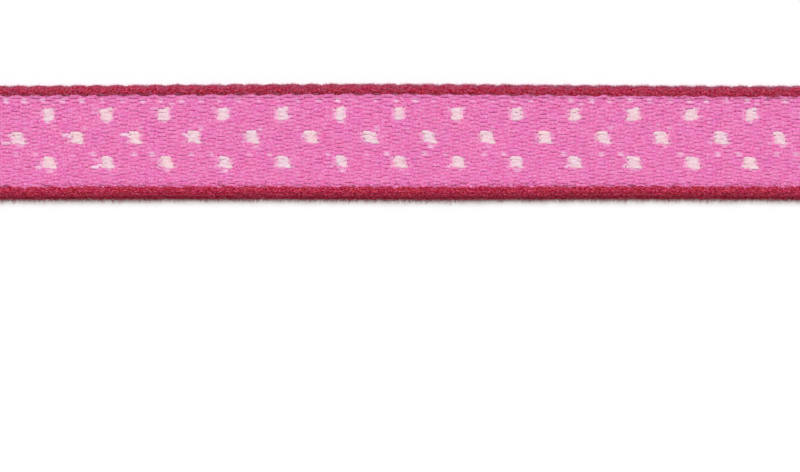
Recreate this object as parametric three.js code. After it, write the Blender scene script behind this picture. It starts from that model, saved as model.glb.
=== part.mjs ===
// A cut length of narrow woven ribbon, lying flat.
//
// The ribbon is one piece of cloth: a firm, ribbed ground of even thickness between
// two rounder selvedges, which are woven in with the ground and stand a little above it.
// Every second pick turns round a selvedge, so its outer edge is gently scalloped.
//
// Frame, in millimetres: X runs along the ribbon, Y across it, Z up from the surface
// that it lies on. The origin is the centre of the underside.

import * as THREE from 'three';

// ---- Driving dimensions ----

const RIBBON_WIDTH = 12;
const PICK_PITCH = 1.028; // from one crossing thread to the next
const PICK_COUNT = 98;
const RIBBON_LENGTH = PICK_COUNT * PICK_PITCH;
const GROUND_THICKNESS = 1.0;
const SELVEDGE_THICKNESS = 1.24;

// The outline's unevenness: the depth of the scallops, and each side's long, shallow swell.
const SCALLOP_DEPTH = 0.09;
const FAR_SWELL = { height: 0.11, wavelength: 84, crest: - 4 };
const NEAR_SWELL = { height: 0.03, wavelength: 45, crest: 2 };

const HALF_TURN_STEPS = 6;

// ---- Derived dimensions ----

const SELVEDGE_RADIUS = SELVEDGE_THICKNESS / 2;
const SELVEDGE_CENTRE = RIBBON_WIDTH / 2 - SELVEDGE_RADIUS;
const SHOULDER_RISE = GROUND_THICKNESS - SELVEDGE_RADIUS;
const SHOULDER_ANGLE = Math.PI - Math.asin( SHOULDER_RISE / SELVEDGE_RADIUS );

// ---- Materials ----

function wovenYarn() {

	return new THREE.MeshStandardMaterial( {
		color: new THREE.Color( 0xe77ab4 ),
		roughness: 0.85,
		metalness: 0,
	} );

}

// ---- Geometry ----

// The ribbon's section, with the ribbon's width along the shape's x and its height along y.
// The underside is flat. Each selvedge is a half turn from the underside, round the outer
// edge to the top, and one more step down to the shoulder where it meets the ground.
function ribbonSection() {

	const angles = [];

	for ( let step = 0; step <= HALF_TURN_STEPS; step ++ ) {

		angles.push( Math.PI * ( step / HALF_TURN_STEPS - 0.5 ) );

	}

	angles.push( SHOULDER_ANGLE );

	const farSide = angles.map( ( angle ) => new THREE.Vector2(
		SELVEDGE_CENTRE + SELVEDGE_RADIUS * Math.cos( angle ),
		SELVEDGE_RADIUS + SELVEDGE_RADIUS * Math.sin( angle ),
	) );
	const nearSide = farSide.map( ( point ) => new THREE.Vector2( - point.x, point.y ) ).reverse();

	return new THREE.Shape( [ ...farSide, ...nearSide ] );

}

// How far an edge lies outside the straight line at a place along the ribbon: its long
// swell, and a short scallop that stands out at every second pick.
function edgeShift( along, swell ) {

	const swellTurn = 2 * Math.PI * ( along - swell.crest ) / swell.wavelength;
	const scallopTurn = Math.PI * along / PICK_PITCH;

	return swell.height * Math.cos( swellTurn ) - SCALLOP_DEPTH / 2 * Math.cos( scallopTurn );

}

// Moves each vertex across the ribbon by its edge's shift. The share of the shift grows
// from none in the middle of the ribbon to all of it at the selvedge.
function unevenEdges( geometry ) {

	const position = geometry.getAttribute( 'position' );

	for ( let index = 0; index < position.count; index ++ ) {

		const along = position.getX( index );
		const across = position.getY( index );
		const swell = across > 0 ? FAR_SWELL : NEAR_SWELL;
		const share = Math.min( Math.abs( across ) / SELVEDGE_CENTRE, 1 );
		position.setY( index, across + Math.sign( across ) * share * edgeShift( along, swell ) );

	}

	position.needsUpdate = true;
	geometry.computeVertexNormals();

	return geometry;

}

// The section carried along the ribbon, with one station for each pick. The extrusion
// runs along its own z, so two turns lay it along X with its height up Z.
function ribbonGeometry() {

	const geometry = new THREE.ExtrudeGeometry( ribbonSection(), {
		depth: RIBBON_LENGTH,
		steps: PICK_COUNT,
		bevelEnabled: false,
	} );

	geometry.translate( 0, 0, - RIBBON_LENGTH / 2 );
	geometry.rotateX( Math.PI / 2 );
	geometry.rotateZ( Math.PI / 2 );

	return unevenEdges( geometry );

}

// ---- The ribbon ----

const wovenRibbon = new THREE.Group();

const ribbon = new THREE.Mesh( ribbonGeometry(), wovenYarn() );
ribbon.name = 'ribbon';
wovenRibbon.add( ribbon );

export default wovenRibbon;
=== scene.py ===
"""Weaves a cut length of narrow dotted ribbon, thread by thread.

The cloth has two warps. The pink warp makes the face and the pale warp makes the
reverse, and at each dot the two change places. The picks are a thin ribbed sheet
between them. Crimson warp threads make the two raised, fuzzy selvedges, and every
second pick turns round the outermost of them, which gives the edge its scallops.

Lengths are in metres. X runs along the ribbon, Y across it and Z up. A place along
the ribbon is also counted in picks from its middle, where the crests of the threads
lie half a pick to each side of a whole number.
"""

import math

import bpy
import numpy as np
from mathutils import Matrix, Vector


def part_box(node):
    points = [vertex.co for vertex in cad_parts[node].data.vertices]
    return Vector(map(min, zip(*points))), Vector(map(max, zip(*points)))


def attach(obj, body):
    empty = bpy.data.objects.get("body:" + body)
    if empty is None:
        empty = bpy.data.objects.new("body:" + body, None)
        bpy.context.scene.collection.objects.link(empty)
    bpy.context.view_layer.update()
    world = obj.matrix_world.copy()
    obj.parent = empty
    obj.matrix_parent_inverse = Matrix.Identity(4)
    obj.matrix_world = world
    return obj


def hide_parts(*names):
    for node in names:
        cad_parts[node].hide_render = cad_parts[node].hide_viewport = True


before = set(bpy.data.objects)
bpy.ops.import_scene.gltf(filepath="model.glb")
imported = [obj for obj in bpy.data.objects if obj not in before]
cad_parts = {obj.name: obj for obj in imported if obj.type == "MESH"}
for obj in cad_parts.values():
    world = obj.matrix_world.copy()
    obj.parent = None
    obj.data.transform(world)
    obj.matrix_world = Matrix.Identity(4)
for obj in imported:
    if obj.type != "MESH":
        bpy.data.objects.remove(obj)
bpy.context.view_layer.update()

RIBBON_LOW, RIBBON_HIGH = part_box("ribbon")

bl_info = {
    "name": "Dotted Ribbon Weaver",
    "version": (1, 0, 0),
    "blender": (4, 5, 0),
    "location": "3D View > Sidebar > Ribbon",
    "description": "Weaves a double-faced dotted ribbon thread by thread",
    "category": "Mesh",
}

MM = 0.001
LENGTH = RIBBON_HIGH.x - RIBBON_LOW.x


def named_rows(columns, *rows):
    """A table's rows, each value under the name of its column."""
    return [dict(zip(columns, row)) for row in rows]


# The rows of dots: the height of a row's middle across the ribbon, the place of one of its
# dots along the ribbon, in picks, how much longer its dots are than the settings say, and
# how clearly the pale warp trails to the left of a dot's upper and lower threads.
DOT_ROWS = named_rows(
    ("across", "along", "stretch", "upper_tail", "lower_tail"),
    (2.905 * MM, -0.07, 1.01, 0.1, 0.1),
    (0.38 * MM, 2.90, 1.01, 0.7, 0.3),
    (-2.20 * MM, 0.01, 1.08, 0.25, 1.0),
)

# The picks that a thread takes to change sides at a dot.
DOT_STEP = 0.3

# Places where the pale warp shows through the face. "along" is the place of one of them,
# "every" the picks to the next, "reach" half its length in picks, "chance" how many show,
# and "strength" how clearly.
PEEPS = named_rows(
    ("across", "along", "every", "reach", "chance", "strength"),
    (4.30 * MM, -0.45, 2, 0.20, 1.0, 0.65),
    (4.00 * MM, 0.66, 6, 0.20, 0.6, 0.45),
    (2.08 * MM, -0.05, 6, 0.26, 0.8, 0.5),
    (1.36 * MM, 3.56, 6, 0.20, 0.7, 0.4),
    (-0.50 * MM, 3.10, 6, 0.26, 0.8, 0.5),
    (-1.34 * MM, -1.37, 6, 0.24, 1.0, 0.65),
    (-1.34 * MM, -3.37, 6, 0.20, 0.8, 0.5),
    (-3.02 * MM, 0.13, 6, 0.26, 0.8, 0.5),
)

# The two edges. "height", "wavelength" and "crest" give the long, shallow swell, as in the
# frame's solid, "out" how far the edge lies outside half the width, and "scallop" the depth
# of its scallops. "widening" is how much wider the selvedge is at the +X end, and "gap" how
# far in from the selvedge the nearest warp end lies, or, below nought, under it.
FAR_EDGE = {"height": 0.11 * MM, "wavelength": 84 * MM, "crest": -4 * MM, "out": -0.08 * MM,
            "scallop": 0.13 * MM, "widening": 0.13 * MM, "gap": 0.12 * MM}
NEAR_EDGE = {"height": 0.03 * MM, "wavelength": 45 * MM, "crest": 2 * MM, "out": 0.09 * MM,
             "scallop": 0.03 * MM, "widening": 0, "gap": -0.06 * MM}

# The crimson threads of each selvedge, counted in from the outer edge. "in" and "up" are
# the thread's middle, "rise" how far it waves up and down, and "lead" on which picks. The
# last one of the far selvedge lies up in the crease beside the ground, and fills it.
THREAD_COLUMNS = ("in", "up", "radius", "rise", "lead")
FAR_THREADS = named_rows(
    THREAD_COLUMNS,
    (0.30 * MM, 0.62 * MM, 0.30 * MM, 0.03 * MM, 0.5),
    (0.40 * MM, 0.91 * MM, 0.27 * MM, 0.05 * MM, 0),
    (0.68 * MM, 0.92 * MM, 0.27 * MM, 0.06 * MM, 1),
    (0.89 * MM, 0.86 * MM, 0.23 * MM, 0.05 * MM, 0),
    (0.42 * MM, 0.31 * MM, 0.27 * MM, 0.03 * MM, 1),
    (0.75 * MM, 0.34 * MM, 0.27 * MM, 0.05 * MM, 0),
    (1.04 * MM, 0.72 * MM, 0.20 * MM, 0.05 * MM, 1),
)
NEAR_THREADS = named_rows(
    THREAD_COLUMNS,
    (0.28 * MM, 0.36 * MM, 0.27 * MM, 0.02 * MM, 0.5),
    (0.55 * MM, 0.78 * MM, 0.30 * MM, 0.03 * MM, 0),
    (0.82 * MM, 0.91 * MM, 0.28 * MM, 0.05 * MM, 1),
    (1.14 * MM, 0.87 * MM, 0.25 * MM, 0.07 * MM, 0),
    (0.61 * MM, 0.30 * MM, 0.27 * MM, 0.03 * MM, 1),
    (0.94 * MM, 0.34 * MM, 0.27 * MM, 0.05 * MM, 0),
    (1.19 * MM, 0.38 * MM, 0.20 * MM, 0.05 * MM, 1),
)

# How much paler than the face warp the picks and the face's loose fibres are.
PICK_FADE = 0.53

# The fibres on the round bead of each selvedge: fuzz lies over it, and haze stands off its outer
# side. "share" is how many there are for each fibre of the Fuzz setting, "low" and "high" the
# angles round the bead between which they root, in right angles up from straight outwards, "lift"
# how far they stand off it, and the last value how pale the palest is. That paleness is painted
# light: the fibres of the far side, which faces the lamp, are painted far paler than those of the
# near side.
FAR_FUZZ = {"share": 1, "low": -0.7, "high": 1.7, "lift": 0.06, "length": 0.4 * MM,
            "radius": 0.018 * MM, "faded": 0.46}
NEAR_FUZZ = {**FAR_FUZZ, "faded": 0.04}
FAR_HAZE = {"share": 2.3, "low": -0.3, "high": 0.7, "lift": 0.6, "length": 0.28 * MM,
            "radius": 0.010 * MM, "faded": 1}
NEAR_HAZE = {"share": 1.6, "low": -0.8, "high": -0.1, "lift": 1.7, "length": 0.48 * MM,
             "radius": 0.007 * MM, "faded": 0}


def linear(code):
    """A hex colour as linear red, green, blue and alpha. Each channel follows a straight
    line near black, and a power of 2.4 above it."""
    channels = [int(code[i:i + 2], 16) / 255 for i in (0, 2, 4)]
    curve = [c / 12.92 if c <= 0.04045 else ((c + 0.055) / 1.055) ** 2.4 for c in channels]
    return (*curve, 1.0)


# ---- Settings ----


class RibbonSizes(bpy.types.PropertyGroup):
    """Sizes of the weave."""

    width: bpy.props.FloatProperty(
        name="Width", description="Width over both selvedges", default=12 * MM, unit="LENGTH")
    picks: bpy.props.IntProperty(
        name="Picks", description="Crossing threads in the whole length", default=98)
    ends: bpy.props.IntProperty(
        name="Ends", description="Warp threads across the ground, on each face", default=48)
    far_band: bpy.props.FloatProperty(
        name="Far Selvedge", description="Width of the far selvedge", default=1.05 * MM,
        unit="LENGTH")
    near_band: bpy.props.FloatProperty(
        name="Near Selvedge", description="Width of the near selvedge", default=1.33 * MM,
        unit="LENGTH")
    ground_middle: bpy.props.FloatProperty(
        name="Ground Middle", description="Height of the ground's middle over the table",
        default=0.54 * MM, unit="LENGTH")
    ground_thickness: bpy.props.FloatProperty(
        name="Ground Thickness", description="Thickness from crest to crest",
        default=0.96 * MM, unit="LENGTH")
    dot_repeat: bpy.props.FloatProperty(
        name="Dot Repeat", description="Picks from one dot to the next in its row", default=6)
    dot_height: bpy.props.FloatProperty(
        name="Dot Height", description="Height of a dot across the ribbon",
        default=1.22 * MM, unit="LENGTH")
    dot_left: bpy.props.FloatProperty(
        name="Dot Left", description="Picks from a dot's middle to its left side", default=0.59)
    dot_right: bpy.props.FloatProperty(
        name="Dot Right", description="Picks from a dot's middle to its right side", default=0.53)
    fuzz: bpy.props.FloatProperty(
        name="Fuzz", description="Loose fibres for each millimetre of selvedge", default=48)


class RibbonColours(bpy.types.PropertyGroup):
    """Dyes of the threads."""

    pink: bpy.props.FloatVectorProperty(
        name="Pink", description="Warp of the face, and the picks", subtype="COLOR", size=4,
        default=linear("F584BE"))
    pale: bpy.props.FloatVectorProperty(
        name="Pale", description="Warp of the reverse", subtype="COLOR", size=4,
        default=linear("FED8DC"))
    crimson: bpy.props.FloatVectorProperty(
        name="Crimson", description="Selvedge threads", subtype="COLOR", size=4,
        default=linear("B1024A"))


def measures():
    """The scene's sizes of the weave."""
    return bpy.context.scene.ribbon_sizes


def dyes():
    """The scene's colours of the threads."""
    return bpy.context.scene.ribbon_colours


# ---- Places in the cloth ----


def smooth_step(value):
    """Nought below 0, one above 1, and three squares less two cubes in between."""
    held = np.clip(value, 0, 1)
    return held * held * (3 - 2 * held)


def edge_of(side):
    """The table of the far edge, whose side is 1, or of the near edge, whose side is -1."""
    return FAR_EDGE if side > 0 else NEAR_EDGE


def edge_line(along, side):
    """How far out an edge lies: half the width, plus a long cosine swell."""
    edge = edge_of(side)
    turn = 2 * np.pi * (along - edge["crest"]) / edge["wavelength"]
    return measures().width / 2 + edge["out"] + edge["height"] * np.cos(turn)


def scallop_line(along, side):
    """The scallops: a sine's size to a power below one, so that they are broad where
    they stand out, at odd places counted in picks, and sharp where they are drawn in.
    Their mean is taken off, so that they leave the width as it is."""
    power, mean = 0.8, 0.68
    wave = np.abs(np.sin(np.pi * along / pick_pitch() / 2)) ** power
    return edge_of(side)["scallop"] * (wave - mean)


def pick_pitch():
    """The length of the ribbon shared among its picks."""
    return LENGTH / measures().picks


def widening(along, side):
    """How much wider a selvedge is than its setting: the far one widens slowly towards +X."""
    return edge_of(side)["widening"] * along / (LENGTH / 2)


def ground_edges(along):
    """Where the ground meets the far and the near selvedge."""
    sizes = measures()
    far = edge_line(along, 1) - sizes.far_band - widening(along, 1)
    near = sizes.near_band - edge_line(along, -1)
    return far, near


def drift(random, along, across, size, waves=7):
    """A slow, even wandering between about -1 and 1: the mean of a few cosines that run
    in random directions over the cloth, with wavelengths round size."""
    total = np.zeros(np.broadcast(along, across).shape)
    for _ in range(waves):
        heading = random.uniform(0, 2 * np.pi)
        pace = 2 * np.pi / (size * random.uniform(0.7, 1.6))
        start = random.uniform(0, 2 * np.pi)
        run = along * np.cos(heading) + across * np.sin(heading)
        total = total + np.cos(pace * run + start)
    return total / math.sqrt(waves)


def thread_noise(random, threads, along, pitch):
    """For each thread its own uneven line along the ribbon: a random value at every
    pitch, joined by smooth steps."""
    place = (along - along.min()) / pitch
    knots = int(np.ceil(place.max())) + 2
    values = random.uniform(-1, 1, (threads, knots))
    low = np.floor(place).astype(int)
    share = smooth_step(place - low)
    return values[:, low] * (1 - share) + values[:, low + 1] * share


# ---- Meshes ----


def mesh_of_tubes(name, rings, lay, columns=1, **shades):
    """One mesh of closed tubes. rings is tubes x stations x sides x 3, each ring turning
    from +Y to +Z as seen along the tube. lay is tubes x stations x 2: how far along and
    how far round, in millimetres, for the fibres. Each tube has its own strip in the
    map OFBake, in the given number of columns. The shades are kept with the mesh as
    attributes, with one value for each point of each ring."""
    tubes, stations, sides = rings.shape[:3]
    index = np.arange(tubes * stations * sides).reshape(tubes, stations, sides)
    after = np.roll(index, -1, axis=2)
    walls = np.stack([index[:, :-1], after[:, :-1], after[:, 1:], index[:, 1:]], axis=-1)
    ends = np.stack([index[:, 0, ::-1], index[:, -1]], axis=1)
    corners = np.concatenate([walls.reshape(-1), ends.reshape(-1)])
    wall_count, end_count = walls.size // 4, 2 * tubes
    starts = np.concatenate([
        4 * np.arange(wall_count),
        4 * wall_count + sides * np.arange(end_count),
    ])

    mesh = bpy.data.meshes.new(name)
    mesh.vertices.add(rings.size // 3)
    mesh.vertices.foreach_set("co", rings.astype(np.float32).reshape(-1))
    mesh.loops.add(len(corners))
    mesh.loops.foreach_set("vertex_index", corners.astype(np.int32))
    mesh.polygons.add(len(starts))
    mesh.polygons.foreach_set("loop_start", starts.astype(np.int32))
    smooth = np.concatenate([np.ones(wall_count, bool), np.zeros(end_count, bool)])
    mesh.polygons.foreach_set("use_smooth", smooth)
    mesh.update(calc_edges=True)

    strip_u, strip_v, end_u, end_v = strips(tubes, stations, sides, columns)
    write_map(mesh, "OFBake", np.concatenate([strip_u, end_u]), np.concatenate([strip_v, end_v]))
    lay_u, lay_v = fibre_lay(lay, sides)
    write_map(mesh, "lay", lay_u, lay_v)
    for shade, values in shades.items():
        kept = mesh.attributes.new(shade, "FLOAT", "POINT")
        kept.data.foreach_set("value", values.astype(np.float32).reshape(-1))

    piece = bpy.data.objects.new(name, mesh)
    bpy.context.scene.collection.objects.link(piece)
    return piece


def write_map(mesh, name, across, up):
    """Adds a UV map with these two values at each corner."""
    layer = mesh.uv_layers.new(name=name)
    layer.uv.foreach_set("vector", np.stack([across, up], axis=-1).astype(np.float32).reshape(-1))


def strips(tubes, stations, sides, columns):
    """The map OFBake: every tube is one strip with its length across the image, and its
    two ends are small rounds at the ends of its strip."""
    end_room, margin = 0.02, 0.04
    band = 1 - 2 * margin
    end_radius = 0.4
    rows = -(-tubes // columns)
    tube = np.arange(tubes)
    left = (tube % columns / columns)[:, None, None]
    foot = (tube // columns / rows)[:, None, None]
    reach = (1 - 2 * end_room) / (stations - 1)
    station = np.arange(stations - 1)[None, :, None]
    side = np.arange(sides)[None, None, :]
    u0 = left + (end_room + reach * station) / columns + 0 * side
    v0 = foot + (margin + band * side / sides) / rows + 0 * station
    u1 = u0 + reach / columns
    v1 = v0 + band / sides / rows
    strip_u = np.stack([u0, u0, u1, u1], axis=-1).reshape(-1)
    strip_v = np.stack([v0, v1, v1, v0], axis=-1).reshape(-1)

    turns = end_turns(sides)
    middle = np.array([end_room / 2, 1 - end_room / 2])[None, :, None]
    end_u = left + (middle + end_radius * end_room * np.cos(turns)) / columns
    end_v = foot + (0.5 + end_radius * np.sin(turns)) / rows
    return strip_u, strip_v, end_u.reshape(-1), end_v.reshape(-1)


def angles_round(sides):
    """Even angles once round."""
    return 2 * np.pi * np.arange(sides) / sides


def end_turns(sides):
    """The angles of the corners of a tube's two end faces, which turn opposite ways."""
    turn = angles_round(sides)
    return np.stack([turn[::-1], turn])[None]


def fibre_lay(lay, sides):
    """The map lay: millimetres along the thread, and millimetres round it. The threads
    lie well apart in it, and each end face is a small round of its own."""
    apart, end_place, end_radius = 5, 2, 0.1
    tubes, stations = lay.shape[:2]
    share = np.arange(sides + 1) / sides
    foot = apart * np.arange(tubes)[:, None, None]
    along = np.broadcast_to(lay[:, :, None, 0], (tubes, stations, sides + 1))
    girth = lay[:, :, None, 1] * share + foot
    quads = [
        np.stack([part[:, :-1, :-1], part[:, :-1, 1:], part[:, 1:, 1:], part[:, 1:, :-1]], axis=-1)
        for part in (along, girth)
    ]
    turns = end_turns(sides)
    round_u = lay[:, [0, -1], 0][:, :, None] + end_radius * np.cos(turns)
    round_v = foot + end_place + end_radius * np.sin(turns)
    lay_u = np.concatenate([quads[0].reshape(-1), round_u.reshape(-1)])
    lay_v = np.concatenate([quads[1].reshape(-1), round_v.reshape(-1)])
    return lay_u, lay_v


def flat_threads(along, across, height, half_width, half_height, tilt):
    """Rings of threads that run along X: each ring is an ellipse across the thread, turned
    by the tilt. All the values are threads x stations."""
    sides = 6
    turn = angles_round(sides)
    wide = half_width[..., None] * np.cos(turn)
    tall = half_height[..., None] * np.sin(turn)
    lean = tilt[..., None]
    rings = np.empty((*across.shape, sides, 3))
    rings[..., 0] = np.broadcast_to(along, across.shape)[..., None]
    rings[..., 1] = across[..., None] + wide * np.cos(lean) - tall * np.sin(lean)
    rings[..., 2] = height[..., None] + wide * np.sin(lean) + tall * np.cos(lean)
    return rings


def ragged(rings, random):
    """Shortens or lengthens each thread at both cut ends by up to a small length."""
    most = 0.12 * MM
    for end in (0, -1):
        rings[:, end, :, 0] += random.uniform(-most, most, (len(rings), 1))
    return rings


def round_threads(path, radius):
    """Rings carried along any path: a circle of the given radius in the plane across the
    path. path is threads x stations x 3, radius threads x stations x sides. The circle
    starts from a leaning upright, which is in line with none of the threads."""
    turn = angles_round(radius.shape[-1])[:, None]
    tangent = unit(np.gradient(path, axis=1))
    upright = np.broadcast_to(np.array([0.13, 0.21, 0.97]), tangent.shape)
    side_way = unit(np.cross(upright, tangent))
    up_way = np.cross(tangent, side_way)
    spread = side_way[:, :, None] * np.cos(turn) + up_way[:, :, None] * np.sin(turn)
    return path[:, :, None] + radius[..., None] * spread


def unit(vectors):
    """Vectors scaled to length one."""
    return vectors / np.linalg.norm(vectors, axis=-1, keepdims=True)


# ---- Weaving ----


def stations_along(per_pick=4):
    """Even places along the whole ribbon, some to each pick."""
    sizes = measures()
    return np.linspace(RIBBON_LOW.x, RIBBON_HIGH.x, sizes.picks * per_pick + 1)


def end_lines(along, random):
    """The middle line of every warp end. The ends lie side by side from one selvedge to
    just under the other, a little further apart on the far side: half a sine moves those
    in the middle nearer. Together they bow a little, as a cosine that follows the far edge,
    and each wanders slowly and is a little uneven, from pick to pick and within a pick."""
    sizes = measures()
    nearer, bowed, wander = 0.19 * MM, 0.06 * MM, 0.02 * MM
    far = sizes.width / 2 + FAR_EDGE["out"] - sizes.far_band - FAR_EDGE["gap"]
    near = sizes.near_band - sizes.width / 2 - NEAR_EDGE["out"] + NEAR_EDGE["gap"]
    share = np.linspace(0, 1, sizes.ends)[:, None]
    bow = bowed * np.cos(2 * np.pi * (along - FAR_EDGE["crest"]) / FAR_EDGE["wavelength"])
    across = far - share * (far - near) - nearer * np.sin(np.pi * share) + bow
    across = across + wander * drift(random, along[None], across, 9 * MM)
    for uneven, picks in ((0.028 * MM, 0.9), (0.014 * MM, 0.27)):
        across = across + uneven * thread_noise(random, sizes.ends, along, picks * pick_pitch())
    return across


def window(local, start, stop, edge):
    """One between start and stop and nought outside them, with smooth steps of the
    given length at both."""
    return smooth_step((local - start) / edge + 0.5) * smooth_step((stop - local) / edge + 0.5)


def nearest_of(place, first, every):
    """The place counted from the nearest member of an even row, and that member's number."""
    number = np.round((place - first) / every).astype(int)
    return place - first - number * every, number - number.min()


def dot_shares(along, ends_at, early):
    """Where the warps change sides, and where the pale one shows through beside a dot,
    both from 0 to 1. In each row of dots, the threads that lie within the dot's height
    change sides between their starts and stops, and a dot at a cut runs on to the cut.
    early is how many picks before that, and after it, this warp changes: the reverse warp
    does so early, and the face warp late."""
    sizes = measures()
    random = np.random.default_rng(31)
    last = sizes.picks / 2 - 1
    place = np.clip(along / pick_pitch(), -last, last)
    crossed = np.zeros((len(ends_at), len(along)))
    feather = np.zeros((len(ends_at), len(along)))
    for row in DOT_ROWS:
        offset = (ends_at - row["across"]) / (sizes.dot_height / 2)
        in_row = (np.abs(offset) < 1)[:, None]
        local, number = nearest_of(place, row["along"], sizes.dot_repeat)
        draw = random.uniform(-1, 1, (4, len(ends_at), number.max() + 1))[:, :, number]
        whole = random.uniform(-1, 1, (2, number.max() + 1))[:, number]
        start, stop = dot_sides(row, offset, draw, whole)
        shift = window(local, start - early, stop + early, DOT_STEP)
        if early > 0:
            shown = reverse_fringe(local, start, stop, shift)
        else:
            shown = np.maximum(dot_tails(row, offset, along, local, start, draw),
                               dot_rim(local, start, stop, draw))
        crossed = np.where(in_row, np.maximum(crossed, shift), crossed)
        feather = np.where(in_row, np.maximum(feather, shown), feather)
    return crossed, feather


def dot_sides(row, offset, draw, whole):
    """Where each thread of each dot starts and stops, in picks from the dot's middle. The
    offset says how high in the dot a thread lies, from -1 to 1. The outer threads reach
    further at both ends. The upper ones start late, or early where they trail, and the
    lower ones run on to the right. Each thread and each whole dot differs by chance."""
    sizes = measures()
    further, runs_on, late, trailing, short = 0.08, 0.16, 0.12, 0.3, 0.04
    start_varies, stop_varies, dot_varies = 0.11, 0.09, 0.11
    outer = further * smooth_step((np.abs(offset) - 0.5) / 0.3)[:, None]
    low = runs_on * smooth_step((-offset - 0.1) / 0.6)[:, None]
    high = (late - trailing * row["upper_tail"]) * smooth_step((offset - 0.4) / 0.5)[:, None]
    start = -sizes.dot_left * row["stretch"] + high - outer
    stop = sizes.dot_right * row["stretch"] - short + outer + low
    return (start + start_varies * draw[0] + dot_varies * whole[0],
            stop + stop_varies * draw[1] + dot_varies * whole[1])


def dot_tails(row, offset, along, local, start, draw):
    """How clearly the pale warp trails to the left of a dot's threads: a smooth step some
    way before the start of each. The upper and lower threads do so as the row says, and
    all do it more towards the -X end, where the cloth is slack."""
    least, most, more_in_slack, clearest = 0.16, 0.5, 0.6, 0.95
    slack_start, slack_length = 14 * MM, 16 * MM
    tail = row["upper_tail"] * smooth_step(offset / 0.4 + 0.5)
    tail = tail + row["lower_tail"] * smooth_step((-offset - 0.3) / 0.3)
    slack = smooth_step((-along - slack_start) / slack_length)
    reach = least + (most + more_in_slack * slack) * np.abs(draw[2])
    share = tail[:, None] * (0.62 + 0.38 * draw[3]) * (1 + slack)
    shown = smooth_step((local - start + reach) / DOT_STEP + 0.5) * (local < 0.3)
    return clearest * np.minimum(share, 1) * shown


def dot_rim(local, start, stop, draw):
    """A paler rim at both ends of a dot's threads: a wide, soft window over the thread,
    times what it leaves."""
    before, after, softness, clearness = 0.12, 0.04, 0.5, 1.8
    soft = window(local, start - before, stop + after, softness)
    return (clearness + draw[3]) * soft * (1 - soft)


def reverse_fringe(local, start, stop, shift):
    """The pink that shows on the reverse warp's threads beside a dot: a window that is
    longer than the dot at both ends, where the thread has yet to change sides."""
    longer, clearness = 0.3, 0.9
    shown = clearness * window(local, start - longer, stop + longer, DOT_STEP)
    return shown * (1 - smooth_step((shift - 0.4) / 0.4))


def peep_share(along, rings):
    """How much of the pale warp shows through at each point of the face threads, from 0 to
    1: a short window along and across each peep. Some are left out and the others vary."""
    random = np.random.default_rng(32)
    half_height, edge_along, edge_across = 0.14 * MM, 0.2, 0.12 * MM
    place = along / pick_pitch()
    across = rings[..., 1]
    share = np.zeros(across.shape)
    for row in PEEPS:
        local, number = nearest_of(place, row["along"], row["every"])
        draw = random.uniform(0, 1, (4, number.max() + 1))[:, number]
        reach = row["reach"] * (0.7 + 0.6 * draw[0])
        strength = row["strength"] * (0.5 + draw[0]) * (draw[1] < row["chance"])
        shift = 0.3 * (draw[2] - 0.5)
        shown = strength * window(local - shift, -reach, reach, edge_along)
        middle = row["across"] + 0.1 * MM * (draw[3] - 0.5)
        height = window(across - middle[:, None], -half_height, half_height, edge_across)
        share = np.maximum(share, shown[:, None] * height)
    return share


def warp_shape(along, across, lead, random):
    """The angle of a plain weave's wave for each end: its cosine is 1 on the crest over a
    pick and -1 under the next. lead is 0 or 1 for each end and says which picks it passes
    over. Picks lean and bow a little, so the crests of a pick aren't quite in line."""
    lean_per_mm, shift, bow, uneven = 0.014, 0.17, 0.08, 0.19
    lean = lean_per_mm * across / MM - shift + bow * drift(random, along[None], across, 7 * MM)
    lean = lean + uneven * thread_noise(random, len(lead), along, 1.1 * pick_pitch())
    return np.pi * (along / pick_pitch() - 0.5 + lean - lead[:, None])


def thread_section(wave, random, along, ends):
    """Half the width and half the height of a thread: broad and flat on its crest, narrow
    and tall where its neighbours press on it, with each float a little uneven. Half a cosine
    makes the ends on the near side, which are packed closer, a little narrower."""
    narrow, broadening, area = 0.12 * MM, 0.12 * MM, 0.0105 * MM * MM
    flattest, tallest, packing, unevenness = 0.055 * MM, 0.10 * MM, 0.06, 0.15
    uneven = thread_noise(random, ends, along, 0.27 * pick_pitch())
    half_width = narrow + broadening * smooth_step((wave + 0.6) / 1.5)
    packed = 1 + packing * np.cos(np.pi * np.linspace(0, 1, ends))[:, None]
    half_width = half_width * packed * (1 + unevenness * uneven)
    return half_width, np.clip(area / half_width, flattest, tallest)


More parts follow.
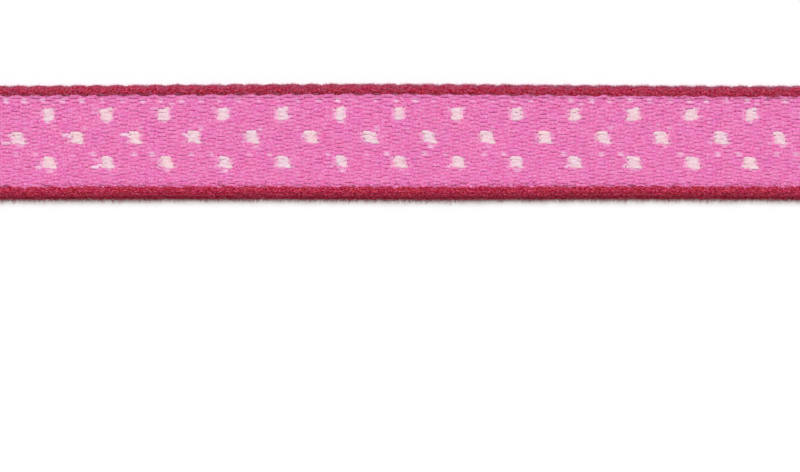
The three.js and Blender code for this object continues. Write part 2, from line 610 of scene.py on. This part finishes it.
def woven_warp(face, random):
    """All ends of one warp, as rings. The face warp lies over the middle of the cloth and
    the reverse warp under it, half a wave behind. Within a dot a warp lies on the other
    side, where it weaves just as the other warp does outside the dot, and the reverse warp
    is broader there. Each end snakes a little between its crests, and rises and leans
    unevenly, and the first few ride up against the far selvedge."""
    sizes = measures()
    along = stations_along()
    places = end_lines(along, np.random.default_rng(11))
    ends_at = np.median(places, axis=1)
    lead = np.arange(sizes.ends) % 2
    turn = warp_shape(along, places, lead, np.random.default_rng(12))
    gap = 0.09
    crossed, feather = dot_shares(along, ends_at, -gap if face else gap)
    wave = np.cos(turn + np.pi * (crossed if face else 1 - crossed))

    half_width, half_height = thread_section(wave, random, along, sizes.ends)
    dot_width, broadening = 0.22 * MM, 0 if face else 0.5
    half_width = half_width + broadening * crossed * (dot_width - half_width)

    half_thread, deep, deeper_in_dots = 0.06 * MM, 0.312 * MM, 0.055 * MM
    snaking, uneven_rise, lean, uneven_lean = 0.006 * MM, 0.015 * MM, 0.03, 0.12
    crest = sizes.ground_thickness / 2 - half_thread
    sunk = deep + deeper_in_dots * crossed
    rise = sunk + (crest - sunk) * smooth_step((wave + 0.95) / 1.3)
    rise = rise + uneven_rise * thread_noise(random, sizes.ends, along, pick_pitch())
    rise = rise + (0.07 - 0.03 * wave) * MM * beside_far(sizes.ends)[:, None]
    side = 1 - 2 * crossed if face else 2 * crossed - 1
    height = sizes.ground_middle + side * rise
    places = places - snaking * np.sin(turn) + border_sway(wave)
    tilt = lean + uneven_lean * thread_noise(random, sizes.ends, along, pick_pitch())
    rings = flat_threads(along, places, height, half_width, half_height, tilt)
    feather = np.broadcast_to(feather[..., None], rings.shape[:3])
    return {
        "along": along,
        "rings": rings,
        "faded": np.maximum(peep_share(along, rings), feather) if face else feather,
        # painted shade between and under the threads
        "groove": groove_shade(side, wave, rings.shape[2]),
    }


def beside_far(ends):
    """One for the end next to the far selvedge, and less and less for those further in."""
    return np.exp(-np.arange(ends) / 1.1)


def border_sway(wave):
    """The ends next to a selvedge lean out over it where they crest and draw back where
    they sink, and the ends further in follow them less and less, as a falling power."""
    most, spread = 0.05 * MM, 1.2
    number = np.arange(len(wave))
    out = np.exp(-number / spread) - np.exp(-number[::-1] / spread)
    return most * out[:, None] * wave


def groove_shade(side, wave, sides):
    """Painted shade for each point of a thread, from 0 to 1, where it lies deep between its
    neighbours: half, less rather more than half the sine of its angle round the thread, counted
    from the cloth's middle, and more where the thread sinks. So each float's underside and the
    sunk threads are painted darker. Next to the far selvedge it fades out, which paints the shaded
    crease there lighter."""
    outward = np.clip(side, -1, 1)[..., None] * np.sin(angles_round(sides))
    sinking = smooth_step(0.3 - wave)[..., None]
    inward = 1 - 0.9 * beside_far(len(wave))[:, None, None]
    return inward * np.clip(0.5 - 0.58 * outward + 0.5 * sinking, 0, 1)


def thread_lay(threads, along, girth):
    """For each station of each thread, millimetres along the thread and round it."""
    lay = np.empty((threads, along.shape[-1], 2))
    lay[..., 0] = along
    lay[..., 1] = girth
    return lay


def weave_halves(name, face, seed, slot):
    """Weaves one warp as two pieces: the far half of its ends, and the near half."""
    girth = 0.9
    warp = woven_warp(face, np.random.default_rng(seed))
    halves = np.array_split(np.arange(measures().ends), 2)
    for half, ends in zip(("far", "near"), halves):
        rings = ragged(warp["rings"][ends], np.random.default_rng(41))
        lay = thread_lay(len(ends), warp["along"] / MM, girth)
        shades = {key: warp[key][ends] for key in ("faded", "groove")}
        dress(mesh_of_tubes(f"{name}_{half}", rings, lay, **shades), slot)


def dress(piece, slot):
    """Gives a piece the finish of its slot, and its place in the frame."""
    name, make = FINISHES[slot]
    piece.data.materials.append(bpy.data.materials.get(name) or make(name))
    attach(piece, "root")


# ---- Finishes ----


# Where a mix node keeps its two colours and its mixed colour.
MIX_LOW, MIX_HIGH, MIX_RESULT = 6, 7, 2


def feed(tree, place, value):
    """Links an input to another node's output, or sets it to a value."""
    if isinstance(value, bpy.types.NodeSocket):
        tree.links.new(value, place)
    else:
        place.default_value = value


def worked(tree, operation, first, second):
    """A maths node on two values or outputs."""
    node = tree.nodes.new("ShaderNodeMath")
    node.operation = operation
    feed(tree, node.inputs[0], first)
    feed(tree, node.inputs[1], second)
    return node.outputs["Value"]


def centred(tree, texture, amount):
    """Nodes for (texture - 0.5) x amount."""
    return worked(tree, "MULTIPLY", worked(tree, "SUBTRACT", texture, 0.5), amount)


def colour_mix(tree, share, low, high):
    """A mix of two colours or outputs."""
    mix = tree.nodes.new("ShaderNodeMix")
    mix.data_type = "RGBA"
    feed(tree, mix.inputs["Factor"], share)
    feed(tree, mix.inputs[MIX_LOW], low)
    feed(tree, mix.inputs[MIX_HIGH], high)
    return mix.outputs[MIX_RESULT]


def blended(tree, low, high, share, start, stop):
    """Nodes for a mix of two colours as the share goes from start to stop."""
    reach = tree.nodes.new("ShaderNodeMapRange")
    reach.inputs["From Min"].default_value = start
    reach.inputs["From Max"].default_value = stop
    tree.links.new(share, reach.inputs["Value"])
    return colour_mix(tree, reach.outputs["Result"], low, high)


def attribute(tree, name):
    """A value that is kept with the mesh."""
    node = tree.nodes.new("ShaderNodeAttribute")
    node.attribute_name = name
    return node.outputs["Fac"]


def noise(tree, vector, scale, detail, roughness=0.5):
    """A noise texture on a vector."""
    texture = tree.nodes.new("ShaderNodeTexNoise")
    texture.inputs["Scale"].default_value = scale
    texture.inputs["Detail"].default_value = detail
    texture.inputs["Roughness"].default_value = roughness
    tree.links.new(vector, texture.inputs["Vector"])
    return texture.outputs["Fac"]


# The inputs of the group of fibres, by kind, each with its default.
FIBRE_INPUTS = {
    "Vector": {"Lay": (0, 0, 0), "Place": (0, 0, 0), "Spacing": (2.2, 16, 1)},
    "Color": {"Deep Dye And Shade": (0.5, 0.5, 0.5, 1), "Dye": (0.8, 0.8, 0.8, 1), "Light": (1, 1, 1, 1),
              "Tint": (0.8, 0.8, 0.8, 1)},
    "Float": {"Painted Shade": 0, "Streaks": 1, "Patches": 1, "Tinting": 1},
}
FIBRE_OUTPUTS = {"Colour": "Color", "Height": "Float"}


def fibre_group():
    """Node group of the fibres in a thread. Fine streaks along the thread and slower patches move
    the colour between a deep, a middle and a light dye, and wide patches over the whole cloth tint
    it. Before the streaks, the shade input mixes in the deep colour as painted shade, where the
    thread lies in a groove or under its neighbours. Puts out the colour and a height for the bump."""
    found = bpy.data.node_groups.get("spun_fibres")
    if found:
        return found
    group = bpy.data.node_groups.new("spun_fibres", "ShaderNodeTree")
    add = group.interface.new_socket
    for kind, sockets in FIBRE_INPUTS.items():
        for name, default in sockets.items():
            made = add(name=name, in_out="INPUT", socket_type="NodeSocket" + kind)
            made.default_value = default
    for name, kind in FIBRE_OUTPUTS.items():
        add(name=name, in_out="OUTPUT", socket_type="NodeSocket" + kind)
    enter = group.nodes.new("NodeGroupInput").outputs
    leave = group.nodes.new("NodeGroupOutput").inputs

    fibre_slant, patch_scale, tint_scale, tint_reach = 0.22, 1.6, 700, 0.35
    stretch = group.nodes.new("ShaderNodeMapping")
    stretch.inputs["Rotation"].default_value = (0, 0, fibre_slant)
    group.links.new(enter["Spacing"], stretch.inputs["Scale"])
    group.links.new(enter["Lay"], stretch.inputs["Vector"])
    streak = noise(group, stretch.outputs["Vector"], scale=1, detail=5, roughness=0.66)
    patch = noise(group, enter["Lay"], patch_scale, detail=2)
    wide = noise(group, enter["Place"], tint_scale, detail=1)
    both = worked(group, "ADD", centred(group, streak, enter["Streaks"]),
                  centred(group, patch, enter["Patches"]))
    tinting = centred(group, wide, enter["Tinting"])
    tinted = blended(group, enter["Dye"], enter["Tint"], tinting, -tint_reach, tint_reach)
    # Painted shade: the deep colour where the thread's painted shade attribute says it lies in
    # shade.
    shaded = blended(group, tinted, enter["Deep Dye And Shade"], enter["Painted Shade"], 0.1, 1.2)
    lower = blended(group, enter["Deep Dye And Shade"], shaded, both, -0.5, 0)
    whole = blended(group, lower, enter["Light"], both, 0, 0.5)
    group.links.new(whole, leave["Colour"])
    group.links.new(streak, leave["Height"])
    return group


def yarn_finish(name, dye, through, deep, light, tint, spacing, streaks, patches, tinting, bump,
                sheen):
    """Matt spun yarn: fibre streaks in colour and bump, and a soft sheen. The deep colour also
    serves as painted shade, where the thread's painted shade attribute says so. Where the thread's
    other attribute says so, another colour, through, shows: the other yarn's colour on the warps
    and picks, and on the crimson fibres a paler colour that is painted light. The spacing is of
    the streaks along and round the thread, for each millimetre."""
    material = bpy.data.materials.new(name)
    material.use_nodes = True
    tree = material.node_tree
    shader = tree.nodes["Principled BSDF"]
    shader.inputs["Roughness"].default_value = 0.85
    shader.inputs["Specular IOR Level"].default_value = 0.08
    shader.inputs["Sheen Weight"].default_value = sheen
    shader.inputs["Sheen Roughness"].default_value = 0.5
    lay = tree.nodes.new("ShaderNodeUVMap")
    lay.uv_map = "lay"
    place = tree.nodes.new("ShaderNodeTexCoord")
    fibres_node = tree.nodes.new("ShaderNodeGroup")
    fibres_node.node_tree = fibre_group()
    # the painted shade attribute and the deep colour paint the shade between and under the threads
    values = {
        "Lay": lay.outputs["UV"], "Place": place.outputs["Object"],
        "Painted Shade": attribute(tree, "groove"), "Dye": tuple(dye), "Deep Dye And Shade": linear(deep),
        "Light": linear(light), "Tint": linear(tint), "Spacing": spacing, "Streaks": streaks,
        "Patches": patches, "Tinting": tinting,
    }
    for key, value in values.items():
        feed(tree, fibres_node.inputs[key], value)
    # the through colour is another yarn's, or on the crimson fibres painted light
    colour = colour_mix(
        tree, attribute(tree, "faded"), fibres_node.outputs["Colour"], tuple(through))
    tree.links.new(colour, shader.inputs["Base Color"])
    relief = tree.nodes.new("ShaderNodeBump")
    relief.inputs["Strength"].default_value = 0.6
    relief.inputs["Distance"].default_value = bump
    tree.links.new(fibres_node.outputs["Height"], relief.inputs["Height"])
    tree.links.new(relief.outputs["Normal"], shader.inputs["Normal"])
    return material


def pink_finish(name):
    """The yarn of the face warp and the picks."""
    # deep is the darker fibre streaks, and also the painted shade between and under the threads
    return yarn_finish(
        name, dye=dyes().pink, through=linear("FFDAF0"), deep="F0469F", light="FFB0D8",
        tint="EE80C8", spacing=(5, 8, 1), streaks=2.8, patches=0.6, tinting=1.2,
        bump=0.04 * MM, sheen=0.05)


def pale_finish(name):
    """The reverse warp's yarn."""
    # deep is the darker fibre streaks, and also the painted shade between the threads in the dots
    return yarn_finish(
        name, dye=dyes().pale, through=dyes().pink, deep="E6A2BE", light="FFF4F2",
        tint="F6D8E8", spacing=(5.5, 8, 1), streaks=1.6, patches=0.6, tinting=1.3,
        bump=0.03 * MM, sheen=0.1)


def crimson_finish(name):
    """The selvedges' yarn, speckled where its loose fibres catch the light."""
    # deep is the darker fibre streaks and the painted shade; through is painted light, the
    # paleness of thin lit fibres
    return yarn_finish(
        name, dye=dyes().crimson, through=linear("FFC0EE"), deep="9A0424",
        light="DA5878", tint="AE1C20", spacing=(4.2, 7.2, 1), streaks=9, patches=0.5,
        tinting=2.2, bump=0.06 * MM, sheen=0.02)


# For each slot, the name of its finish and the function that makes it.
FINISHES = {
    "pink_yarn": ("spun_pink", pink_finish),
    "pale_yarn": ("spun_pale", pale_finish),
    "crimson_yarn": ("spun_crimson", crimson_finish),
}


# ---- Operators ----


class WeaveFace(bpy.types.Operator):
    """Weaves the pink warp, which makes the face"""

    bl_idname = "ribbon.weave_face"
    bl_label = "Weave Face"

    def execute(self, context):
        weave_halves("face_warp", True, 1, "pink_yarn")
        return {"FINISHED"}


class WeaveReverse(bpy.types.Operator):
    """Weaves the pale warp, which makes the reverse and comes up in the dots"""

    bl_idname = "ribbon.weave_reverse"
    bl_label = "Weave Reverse"

    def execute(self, context):
        weave_halves("reverse_warp", False, 2, "pale_yarn")
        return {"FINISHED"}


class TwistSelvedges(bpy.types.Operator):
    """Lays the crimson selvedge threads along both edges"""

    bl_idname = "ribbon.twist_selvedges"
    bl_label = "Twist Selvedges"

    def execute(self, context):
        for name, side, seed in (("selvedge_far", 1, 3), ("selvedge_near", -1, 4)):
            dress(selvedge(name, side, np.random.default_rng(seed)), "crimson_yarn")
        return {"FINISHED"}


def selvedge(name, side, random):
    """The crimson threads of one edge. Each thread is two plies twisted together: its radius is a
    circle plus a cosine that turns twice round it, and the twist carries that along the thread.
    Lumps and slower swellings make it uneven. The threads snake with the scallops and rise and
    sink over the picks. Shade is painted into the colour: the hollows between plies and lumps and
    the low underside get painted shade, and the threads next to the ground less of it."""
    sides, wander, twist_length, table_gap = 8, 0.02 * MM, 1.6 * MM, 0.004 * MM
    ply_depth, lump_depth, swell_depth = 0.08, 0.12, 0.06
    shaded_below, soften, next_to_ground = 0.5 * MM, 0.3 * MM, 0.85 * MM
    along = stations_along(6)
    table = FAR_THREADS if side > 0 else NEAR_THREADS
    threads = len(table)
    column = {key: np.array([thread[key] for thread in table])[:, None] for key in table[0]}
    out = edge_line(along, side) + scallop_line(along, side)
    inward = column["in"] * (1 + widening(along, side) / measures().far_band)
    across = side * (out - inward)
    across = across + wander * thread_noise(random, threads, along, pick_pitch())
    wave = np.cos(np.pi * (along / pick_pitch() - 0.5 - column["lead"]))
    height = column["up"] + column["rise"] * wave
    height = height + wander * thread_noise(random, threads, along, pick_pitch())

    turn = angles_round(sides)
    twist = 2 * np.pi * along / twist_length + random.uniform(0, 6, (threads, 1))
    plies = 1 + ply_depth * np.cos(2 * (turn - twist[..., None]))
    lumps = 1 + lump_depth * random.uniform(-1, 1, (threads, len(along), sides))
    swelling = 1 + swell_depth * thread_noise(random, threads, along, 1.5 * pick_pitch())
    radius = column["radius"][..., None] * plies * lumps * swelling[..., None]
    path = np.stack([np.broadcast_to(along, across.shape), across, height], axis=-1)
    rings = round_threads(path, radius)

    # Painted shade: darker low down on the underside and in the hollows between plies and lumps,
    # and less on the threads next to the ground.
    low = smooth_step((shaded_below - rings[..., 2]) / soften)
    inner = (column["in"] > next_to_ground)[..., None]
    groove = np.clip(0.4 - 3.5 * (plies * lumps - 1) + 0.5 * low - 0.5 * inner, 0, 1)
    rings[..., 2] = np.maximum(rings[..., 2], table_gap)
    lay = thread_lay(threads, along / MM, 2 * np.pi * column["radius"] / MM)
    return mesh_of_tubes(name, ragged(rings, random), lay, groove=groove)


class LayWeft(bpy.types.Operator):
    """Lays the picks between the two warps and turns them round the selvedges"""

    bl_idname = "ribbon.lay_weft"
    bl_label = "Lay Weft"

    def execute(self, context):
        weft = weft_sheet()
        dress(weft, "pink_yarn")
        dress(weft_turns(), "pink_yarn")
        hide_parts("ribbon")
        return {"FINISHED"}


def weft_sheet():
    """The picks side by side, as a thin sheet: its half thickness is a small part plus a
    rib that is a squared sine over each pick, less a high power towards the two edges. It
    reaches out under the selvedges. The warp stands out past the last picks, which are
    rounded as a circle is."""
    sizes = measures()
    inset, round_end, tuck = 0.22 * MM, 0.24 * MM, 0.35 * MM
    core, rib, cells, girth = 0.25, 0.07, 12, 24
    body = stations_along()[1:-1]
    steps = round_end * np.array([0, 0.1, 0.35, 0.7])
    along = np.concatenate([RIBBON_LOW.x + inset + steps, body[1:-1],
                            RIBBON_HIGH.x - inset - steps[::-1]])
    share = np.linspace(1, -1, cells + 1)
    far = edge_line(along, 1) - tuck
    near = tuck - edge_line(along, -1)
    across = (far + near)[:, None] / 2 + (far - near)[:, None] / 2 * share
    thick = (core + rib * np.sin(np.pi * along / pick_pitch()) ** 2) * MM
    from_end = np.minimum(along - along[0], along[-1] - along) / round_end
    rounding = np.sqrt(1 - 0.96 * np.clip(1 - from_end, 0, 1) ** 2)
    half = (thick * rounding)[:, None] * (1 - 0.8 * share ** 8)
    top = np.stack([np.broadcast_to(along[:, None], across.shape), across,
                    sizes.ground_middle + half], axis=-1)
    under = top[:, ::-1].copy()
    under[..., 2] = sizes.ground_middle - half[:, ::-1]
    rings = np.concatenate([top, under], axis=1)[None]
    lay = thread_lay(1, along / MM, girth)
    return mesh_of_tubes("weft", rings, lay, faded=np.full(rings.shape[:3], PICK_FADE))


def weft_turns():
    """Where a pick turns round the outermost selvedge thread: a bow in plan, a power
    curve from the ground out to the edge and back within one pick."""
    sizes = measures()
    pitch = pick_pitch()
    half = sizes.picks // 2
    inset, depth, sunk, radius, sides = 0.15 * MM, 1.2 * MM, 0.1 * MM, 0.07 * MM, 6
    half_span, lay_length, girth = 0.42, 2, 0.5
    bow = np.linspace(-1, 1, 9)
    paths = []
    for side, first in ((1, -half + 2), (-1, -half + 1)):
        middles = np.arange(first, half, 2) * pitch
        along = middles[:, None] + half_span * pitch * np.sign(bow) * np.abs(bow) ** 0.8
        out = edge_line(along, side) - inset
        across = side * (out - depth * np.abs(bow) ** 2.4)
        height = np.full(along.shape, sizes.ground_middle - sunk)
        paths.append(np.stack([along, across, height], axis=-1))
    path = np.concatenate(paths)
    rings = round_threads(path, np.full((*path.shape[:2], sides), radius))
    lay = thread_lay(len(path), np.linspace(0, lay_length, path.shape[1]), girth)
    faded = np.full(rings.shape[:3], PICK_FADE)
    return mesh_of_tubes("weft_turns", rings, lay, columns=4, faded=faded)


class RaiseFuzz(bpy.types.Operator):
    """Raises loose fibres on the selvedges and, more thinly, on the ground"""

    bl_idname = "ribbon.raise_fuzz"
    bl_label = "Raise Fuzz"

    def execute(self, context):
        random = np.random.default_rng(7)
        face_count, reverse_count = 2400, 1000
        for name, make in (("selvedge_fuzz", selvedge_fuzz), ("selvedge_haze", selvedge_haze)):
            dress(make(name + "_far", 1, random), "crimson_yarn")
            dress(make(name + "_near", -1, random), "crimson_yarn")
        dress(ground_fuzz("face_fuzz", 1, face_count, random), "pink_yarn")
        dress(ground_fuzz("reverse_fuzz", -1, reverse_count, random), "pale_yarn")
        return {"FINISHED"}


def fibres(name, stations, random, roots, headings, lengths, radii, faded, groove=0):
    """Thin three-sided fibres. Each runs from its root along its heading, bends to one
    side by a part of its length as the sine of a half turn or more, and thins out."""
    sides, bend_depth, taper, table_gap = 3, 0.3, 0.4, 0.02 * MM
    lay_length, lay_room, girth = 0.5, 50, 0.06
    count = len(roots)
    share = np.linspace(0, 1, stations)[None, :, None]
    sideways = unit(np.cross(headings, random.normal(size=(count, 3))))
    waves = random.uniform(0.6, 1.8, (count, 1, 1))
    bend = bend_depth * np.sin(np.pi * waves * share)
    path = headings[:, None] * share + sideways[:, None] * bend
    path = roots[:, None] + lengths[:, None, None] * path
    path[..., 2] = np.maximum(path[..., 2], table_gap)
    radius = np.broadcast_to(radii[:, None, None] * (1 - taper * share), (count, stations, sides))
    rings = round_threads(path, radius)
    lay_start = random.uniform(0, lay_room, (count, 1))
    lay = thread_lay(count, share[..., 0] * lay_length + lay_start, girth)
    shade = np.broadcast_to(faded[:, None, None], rings.shape[:3])
    # painted shade, the same for every fibre of the set
    deep = np.full(rings.shape[:3], float(groove))
    return mesh_of_tubes(name, rings, lay, columns=40, faded=shade, groove=deep)


def fibre_count(share):
    """How many fibres a share of the Fuzz setting makes along one selvedge."""
    return int(share * int(measures().fuzz * LENGTH / MM))


def along_edge(count, side, random):
    """Random places along one edge, and how far out the edge lies at each."""
    inset = 0.2 * MM
    along = random.uniform(RIBBON_LOW.x + inset, RIBBON_HIGH.x - inset, count)
    return along, edge_line(along, side) + scallop_line(along, side)


def bead_fibres(side, table, random):
    """The fibres of a table, rooted on the round bead of a selvedge. Each lies round or
    along the bead, in normal shares, and lifts off it by the table's share."""
    bead, middle_height, quarter = 0.57 * MM, 0.62 * MM, 0.5 * np.pi
    count = fibre_count(table["share"])
    along, out = along_edge(count, side, random)
    angle = random.uniform(table["low"] * quarter, table["high"] * quarter, count)
    outward = np.stack([0 * along, side * np.cos(angle), np.sin(angle)], axis=-1)
    middle = np.stack([along, side * (out - middle_height), 0 * along + middle_height], axis=-1)
    around = np.stack([0 * along, -side * np.sin(angle), np.cos(angle)], axis=-1)
    heading = unit(
        table["lift"] * outward
        + around * random.normal(0, 0.8, (count, 1))
        + np.array([1.0, 0, 0]) * random.normal(0, 1, (count, 1))
    )
    return {
        "roots": middle + bead * outward,
        "headings": heading,
        "lengths": table["length"] * random.uniform(0.5, 1.5, count),
        "radii": table["radius"] * random.uniform(0.7, 1.3, count),
        "faded": table["faded"] * random.uniform(0, 1, count) ** 1.5,
    }


def inner_fibres(side, random):
    """Fibres of a selvedge that lie over the ground next to it, fewer further in. On the far side
    they keep closer to the crease and are paler: painted light that lifts the shade in the crease."""
    reach, palest = (0.32 * MM, 0.8) if side > 0 else (0.5 * MM, 0.3)
    overlap, level, uneven = 0.12 * MM, 1.06 * MM, 0.03 * MM
    count = fibre_count(0.3)
    along, _ = along_edge(count, side, random)
    far, near = ground_edges(along)
    border = far if side > 0 else near
    inward = reach * random.uniform(0, 1, count) ** 2 - overlap
    height = level + uneven * random.uniform(-1, 1, count)
    heading = unit(np.stack([
        random.normal(0, 1, count),
        -side * np.abs(random.normal(0, 0.6, count)),
        random.normal(0, 0.05, count),
    ], axis=-1))
    return {
        "roots": np.stack([along, border - side * inward, height], axis=-1),
        "headings": heading,
        "lengths": random.uniform(0.2, 0.5, count) * MM,
        "radii": random.uniform(0.012, 0.020, count) * MM,
        "faded": palest * random.uniform(0, 1, count),
    }


def selvedge_fuzz(name, side, random):
    """The loose fibres of one selvedge that lie over its bead and over the ground beside it."""
    sets = (
        bead_fibres(side, FAR_FUZZ if side > 0 else NEAR_FUZZ, random),
        inner_fibres(side, random),
    )
    joined = {key: np.concatenate([part[key] for part in sets]) for key in sets[0]}
    return fibres(name, 3, random, **joined)


def selvedge_haze(name, side, random):
    """The finest fibres of one selvedge, which stand off its outer side. Those of the far one, on
    the lit side, are painted pale as lit fibres, and those of the near one lie in the ribbon's
    shade, which is painted into them as the deep colour."""
    haze = bead_fibres(side, FAR_HAZE if side > 0 else NEAR_HAZE, random)
    # the near haze gets painted shade
    return fibres(name, 2, random, **haze, groove=0 if side > 0 else 1)


def ground_fuzz(name, up, count, random):
    """Sparse fibres that lie nearly flat on the face or the reverse."""
    sizes = measures()
    inset, sunk = 0.5 * MM, 0.01 * MM
    along = random.uniform(RIBBON_LOW.x + inset, RIBBON_HIGH.x - inset, count)
    far, near = ground_edges(along)
    across = near + (far - near) * random.uniform(0.01, 0.99, count)
    height = sizes.ground_middle + up * (sizes.ground_thickness / 2 - sunk)
    heading = unit(np.stack([
        random.normal(0, 1, count),
        random.normal(0, 0.7, count),
        up * random.uniform(0.02, 0.25, count),
    ], axis=-1))
    return fibres(
        name, 3, random,
        roots=np.stack([along, across, np.full(count, height)], axis=-1),
        headings=heading,
        lengths=random.uniform(0.2, 0.7, count) * MM,
        radii=random.uniform(0.008, 0.014, count) * MM,
        faded=np.full(count, PICK_FADE if up > 0 else 0))


class SetStage(bpy.types.Operator):
    """Sets the white table, the light and the camera"""

    bl_idname = "ribbon.set_stage"
    bl_label = "Set Stage"

    def execute(self, context):
        lay_floor()
        hang_light()
        white_world()
        place_camera()
        context.scene.view_settings.view_transform = "Standard"
        return {"FINISHED"}


def lay_floor():
    """A wide white table just under the ribbon. What the camera sees of it has a little
    white of its own, so that it is as white as the backdrop outside the shadow."""
    reach, height, own_white = 4.0, -0.01 * MM, 0.095
    mesh = bpy.data.meshes.new("table")
    turns = ((-1, -1), (1, -1), (1, 1), (-1, 1))
    corners = [(reach * x, reach * y, height) for x, y in turns]
    mesh.from_pydata(corners, [], [(0, 1, 2, 3)])
    table = bpy.data.objects.new("table", mesh)
    bpy.context.scene.collection.objects.link(table)

    material = bpy.data.materials.new("white_table")
    material.use_nodes = True
    tree = material.node_tree
    shader = tree.nodes["Principled BSDF"]
    shader.inputs["Base Color"].default_value = (0.96, 0.96, 0.96, 1)
    shader.inputs["Roughness"].default_value = 1
    shader.inputs["Specular IOR Level"].default_value = 0
    shader.inputs["Emission Color"].default_value = (1, 1, 1, 1)
    rays = tree.nodes.new("ShaderNodeLightPath")
    seen = worked(tree, "MULTIPLY", rays.outputs["Is Camera Ray"], own_white)
    tree.links.new(seen, shader.inputs["Emission Strength"])
    mesh.materials.append(material)


def hang_light():
    """One wide soft lamp, high on the far side, as cool as the room is warm."""
    light = bpy.data.lights.new("soft_lamp", "SUN")
    light.energy = 2.68
    light.color = (0.95, 1, 1.02)
    light.angle = math.radians(44)
    lean = math.radians(-25)
    lamp = bpy.data.objects.new("soft_lamp", light)
    lamp.rotation_euler = (lean, 0, 0)
    bpy.context.scene.collection.objects.link(lamp)


def white_world():
    """Plain, slightly warm light from all round, and a white backdrop where it is seen."""
    room_strength, room_tone, white = 0.225, (1, 0.82, 0.76, 1), (1, 1, 1, 1)
    world = bpy.data.worlds.new("white_room")
    bpy.context.scene.world = world
    world.use_nodes = True
    tree = world.node_tree
    backdrop = tree.nodes["Background"]
    rays = tree.nodes.new("ShaderNodeLightPath").outputs
    shown = rays["Is Camera Ray"]
    for name in ("Is Glossy Ray", "Is Transmission Ray"):
        shown = worked(tree, "MAXIMUM", shown, rays[name])
    strength = tree.nodes.new("ShaderNodeMapRange")
    strength.inputs["To Min"].default_value = room_strength
    strength.inputs["To Max"].default_value = 1
    tree.links.new(shown, strength.inputs["Value"])
    tree.links.new(strength.outputs["Result"], backdrop.inputs["Strength"])
    tone = colour_mix(tree, shown, room_tone, white)
    tree.links.new(tone, backdrop.inputs["Color"])


def place_camera():
    """A long lens straight above the table. The ribbon lies in the upper part of the view."""
    view_width = 84.43 * MM
    ribbon_above_middle = 9.957 * MM
    data = bpy.data.cameras.new("camera")
    data.lens = 300
    camera = bpy.data.objects.new("camera", data)
    distance = view_width * data.lens / data.sensor_width
    camera.location = (0, -ribbon_above_middle, distance)
    data.clip_start = 0.01
    data.clip_end = 20
    bpy.context.scene.collection.objects.link(camera)
    bpy.context.scene.camera = camera


class RibbonPanel(bpy.types.Panel):
    """Lists the ribbon's settings and the steps that make it."""

    bl_idname = "VIEW3D_PT_ribbon"
    bl_label = "Dotted Ribbon"
    bl_space_type = "VIEW_3D"
    bl_region_type = "UI"
    bl_category = "Ribbon"

    def draw(self, context):
        for group in (measures(), dyes()):
            for name in group.__annotations__:
                self.layout.prop(group, name)
        for step in STEPS:
            self.layout.operator(step.bl_idname)


STEPS = (SetStage, WeaveFace, WeaveReverse, TwistSelvedges, RaiseFuzz, LayWeft)
CLASSES = (RibbonSizes, RibbonColours, *STEPS, RibbonPanel)


def register():
    """Registers the classes and hangs the settings on the scene."""
    for made in CLASSES:
        bpy.utils.register_class(made)
    bpy.types.Scene.ribbon_sizes = bpy.props.PointerProperty(type=RibbonSizes)
    bpy.types.Scene.ribbon_colours = bpy.props.PointerProperty(type=RibbonColours)


def unregister():
    """Takes the settings and the classes away again."""
    del bpy.types.Scene.ribbon_colours
    del bpy.types.Scene.ribbon_sizes
    for made in reversed(CLASSES):
        bpy.utils.unregister_class(made)


def main():
    """Runs each step in order."""
    register()
    bpy.ops.ribbon.set_stage()
    bpy.ops.ribbon.weave_face()
    bpy.ops.ribbon.weave_reverse()
    bpy.ops.ribbon.twist_selvedges()
    bpy.ops.ribbon.raise_fuzz()
    bpy.ops.ribbon.lay_weft()


if __name__ == "__main__":
    main()
